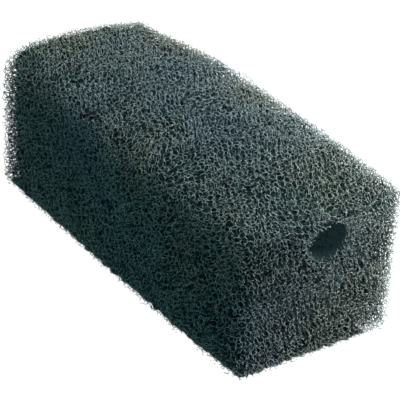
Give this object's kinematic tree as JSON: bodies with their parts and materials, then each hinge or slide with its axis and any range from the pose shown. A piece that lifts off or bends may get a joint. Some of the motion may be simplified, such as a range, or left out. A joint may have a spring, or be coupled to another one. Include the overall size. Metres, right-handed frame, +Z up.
{
  "type": "filter sponge block",
  "caption": "Long rectangular block of coarse open-cell foam with a round blind bore in one end, which pushes over the intake tube of a pond or aquarium filter.",
  "frame": {"origin": "middle of the block's box, on the flat underside", "axes": "+Z up from the underside; Y along the length, with the bored end at -Y; +X across, towards the bulged long side"},
  "size_m": [0.104, 0.25, 0.0935],
  "materials": {
    "foam": "matte"
  },
  "bodies": {
    "root": {"foam_block": "foam"}
  },
  "joints": []
}
